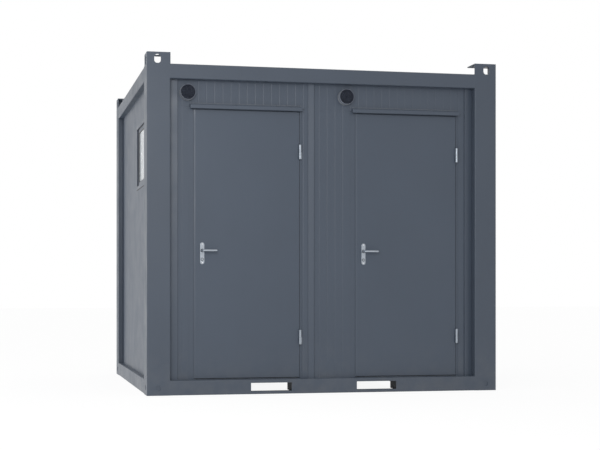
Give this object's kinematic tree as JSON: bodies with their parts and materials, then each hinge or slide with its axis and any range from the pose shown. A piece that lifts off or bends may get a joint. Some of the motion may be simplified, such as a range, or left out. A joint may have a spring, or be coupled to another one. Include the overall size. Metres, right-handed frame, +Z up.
{
  "type": "toilet container",
  "caption": "Box-shaped sanitary unit in a folded steel frame with fork pockets and lifting corners, outward opening doors, round fans, side windows and fitted cabins.",
  "frame": {"origin": "middle of the footprint at ground level", "axes": "+Z up, the doors face -Y, +X to the right as seen from the doors"},
  "size_m": [2.99, 2.435, 2.77],
  "materials": {
    "frame_paint": "satin",
    "panel_paint": "satin",
    "door_paint": "satin",
    "inner_panel": "satin",
    "galvanised": "satin",
    "floor_vinyl": "matte",
    "stainless": "satin",
    "chrome_plate": "polished",
    "fan_plastic": "matte",
    "glazing": "gloss",
    "ceramic_white": "gloss",
    "seat_plastic": "gloss",
    "light_plastic": "satin",
    "mirror_face": "polished",
    "pipe_plastic": "matte"
  },
  "bodies": {
    "shell": {"bottom_rails": "frame_paint", "fork_pockets": "frame_paint", "floor_joists": "galvanised", "underfloor_sheet": "galvanised", "floor_deck": "floor_vinyl", "bottom_corners": "frame_paint", "corner_posts": "frame_paint", "top_corners": "frame_paint", "top_rails": "frame_paint", "roof_sheet": "galvanised", "ceiling_panel": "inner_panel", "front_wall": "panel_paint", "side_walls": "panel_paint", "back_wall": "panel_paint", "partition_wall": "inner_panel", "cover_strips": "panel_paint", "door_frames": "frame_paint", "hinge_pins": "stainless", "rain_ledges": "frame_paint", "fan_housings": "fan_plastic", "window_frames": "frame_paint", "toilet_bowl_left": "ceramic_white", "toilet_bowl_right": "ceramic_white", "cisterns": "ceramic_white", "basins": "ceramic_white", "taps": "chrome_plate", "cabin_lights": "light_plastic", "mirrors": "mirror_face", "paper_holders": "chrome_plate", "service_pipes": "pipe_plastic"},
    "door_left": {"door_leaf_left": "door_paint", "hinge_arms_left": "stainless", "lock_set_left": "stainless"},
    "lever_left": {"door_lever_left": "stainless"},
    "latch_left": {"latch_bolt_left": "stainless"},
    "turn_left": {"lock_turn_left": "stainless"},
    "bolt_left": {"dead_bolt_left": "stainless"},
    "sash_left": {"window_sash_left": "frame_paint", "window_glass_left": "glazing"},
    "sash_handle_left": {"window_handle_left": "light_plastic"},
    "fan_left": {"fan_rotor_left": "fan_plastic"},
    "seat_left": {"toilet_seat_left": "seat_plastic"},
    "lid_left": {"toilet_lid_left": "seat_plastic"},
    "button_left": {"flush_button_left": "chrome_plate"},
    "tap_left": {"tap_lever_left": "chrome_plate"},
    "door_right": {"door_leaf_right": "door_paint", "hinge_arms_right": "stainless", "lock_set_right": "stainless"},
    "lever_right": {"door_lever_right": "stainless"},
    "latch_right": {"latch_bolt_right": "stainless"},
    "turn_right": {"lock_turn_right": "stainless"},
    "bolt_right": {"dead_bolt_right": "stainless"},
    "sash_right": {"window_sash_right": "frame_paint", "window_glass_right": "glazing"},
    "sash_handle_right": {"window_handle_right": "light_plastic"},
    "fan_right": {"fan_rotor_right": "fan_plastic"},
    "seat_right": {"toilet_seat_right": "seat_plastic"},
    "lid_right": {"toilet_lid_right": "seat_plastic"},
    "button_right": {"flush_button_right": "chrome_plate"},
    "tap_right": {"tap_lever_right": "chrome_plate"}
  },
  "joints": [
    {"name": "door_swing_left", "type": "hinge", "parent": "shell", "child": "door_left", "pos_m": [-0.211, -1.168, 1.227], "axis": [0, 0, 1], "range_deg": [0, 100]},
    {"name": "lever_turn_left", "type": "hinge", "parent": "door_left", "child": "lever_left", "pos_m": [-1.033, -1.1355, 1.174], "axis": [0, 1, 0], "range_deg": [0, 40], "stiffness_Nm_per_rad": 1, "springref_deg": -17.19},
    {"name": "latch_slide_left", "type": "slide", "parent": "door_left", "child": "latch_left", "axis": [1, 0, 0], "range_m": [0, 0.0112]},
    {"name": "lock_turn_left", "type": "hinge", "parent": "door_left", "child": "turn_left", "pos_m": [-1.033, -1.1355, 1.102], "axis": [0, 1, 0], "range_deg": [0, 90]},
    {"name": "bolt_slide_left", "type": "slide", "parent": "door_left", "child": "bolt_left", "axis": [-1, 0, 0], "range_m": [0, 0.0201]},
    {"name": "sash_tilt_left", "type": "hinge", "parent": "shell", "child": "sash_left", "pos_m": [-1.398, -0.4325, 1.769], "axis": [0, 1, 0], "range_deg": [0, 25]},
    {"name": "sash_handle_turn_left", "type": "hinge", "parent": "sash_left", "child": "sash_handle_left", "pos_m": [-1.398, -0.4325, 2.269], "axis": [1, 0, 0], "range_deg": [0, 90]},
    {"name": "fan_spin_left", "type": "hinge", "parent": "shell", "child": "fan_left", "pos_m": [-1.156, -1.1215, 2.459], "axis": [0, 1, 0], "continuous": true},
    {"name": "seat_lift_left", "type": "hinge", "parent": "shell", "child": "seat_left", "pos_m": [-0.7565, 0.8665, 0.546], "axis": [-1, 0, 0], "range_deg": [0, 90]},
    {"name": "lid_lift_left", "type": "hinge", "parent": "seat_left", "child": "lid_left", "pos_m": [-0.7565, 0.8665, 0.546], "axis": [1, 0, 0], "range_deg": [-95, 0]},
    {"name": "flush_press_left", "type": "slide", "parent": "shell", "child": "button_left", "axis": [0, 0, -1], "range_m": [0, 0.006], "stiffness_N_per_m": 300, "springref_m": -0.004},
    {"name": "tap_turn_left", "type": "hinge", "parent": "shell", "child": "tap_left", "pos_m": [-0.188, -0.2715, 1.066], "axis": [0, 0, 1], "range_deg": [0, 90]},
    {"name": "door_swing_right", "type": "hinge", "parent": "shell", "child": "door_right", "pos_m": [1.16, -1.168, 1.227], "axis": [0, 0, 1], "range_deg": [0, 100]},
    {"name": "lever_turn_right", "type": "hinge", "parent": "door_right", "child": "lever_right", "pos_m": [0.338, -1.1355, 1.174], "axis": [0, 1, 0], "range_deg": [0, 40], "stiffness_Nm_per_rad": 1, "springref_deg": -17.19},
    {"name": "latch_slide_right", "type": "slide", "parent": "door_right", "child": "latch_right", "axis": [1, 0, 0], "range_m": [0, 0.0112]},
    {"name": "lock_turn_right", "type": "hinge", "parent": "door_right", "child": "turn_right", "pos_m": [0.338, -1.1355, 1.102], "axis": [0, 1, 0], "range_deg": [0, 90]},
    {"name": "bolt_slide_right", "type": "slide", "parent": "door_right", "child": "bolt_right", "axis": [-1, 0, 0], "range_m": [0, 0.0201]},
    {"name": "sash_tilt_right", "type": "hinge", "parent": "shell", "child": "sash_right", "pos_m": [1.398, -0.4325, 1.769], "axis": [0, -1, 0], "range_deg": [0, 25]},
    {"name": "sash_handle_turn_right", "type": "hinge", "parent": "sash_right", "child": "sash_handle_right", "pos_m": [1.398, -0.4325, 2.269], "axis": [1, 0, 0], "range_deg": [0, 90]},
    {"name": "fan_spin_right", "type": "hinge", "parent": "shell", "child": "fan_right", "pos_m": [0.182, -1.1215, 2.459], "axis": [0, 1, 0], "continuous": true},
    {"name": "seat_lift_right", "type": "hinge", "parent": "shell", "child": "seat_right", "pos_m": [0.6425, 0.8665, 0.546], "axis": [-1, 0, 0], "range_deg": [0, 90]},
    {"name": "lid_lift_right", "type": "hinge", "parent": "seat_right", "child": "lid_right", "pos_m": [0.6425, 0.8665, 0.546], "axis": [1, 0, 0], "range_deg": [-95, 0]},
    {"name": "flush_press_right", "type": "slide", "parent": "shell", "child": "button_right", "axis": [0, 0, -1], "range_m": [0, 0.006], "stiffness_N_per_m": 300, "springref_m": -0.004},
    {"name": "tap_turn_right", "type": "hinge", "parent": "shell", "child": "tap_right", "pos_m": [-0.04, -0.2715, 1.066], "axis": [0, 0, 1], "range_deg": [0, 90]}
  ],
  "couplings": [
    {"joint": "latch_slide_left", "follows": "lever_turn_left", "m_per_rad": 0.015756},
    {"joint": "bolt_slide_left", "follows": "lock_turn_left", "m_per_rad": 0.012732},
    {"joint": "latch_slide_right", "follows": "lever_turn_right", "m_per_rad": 0.015756},
    {"joint": "bolt_slide_right", "follows": "lock_turn_right", "m_per_rad": 0.012732}
  ]
}
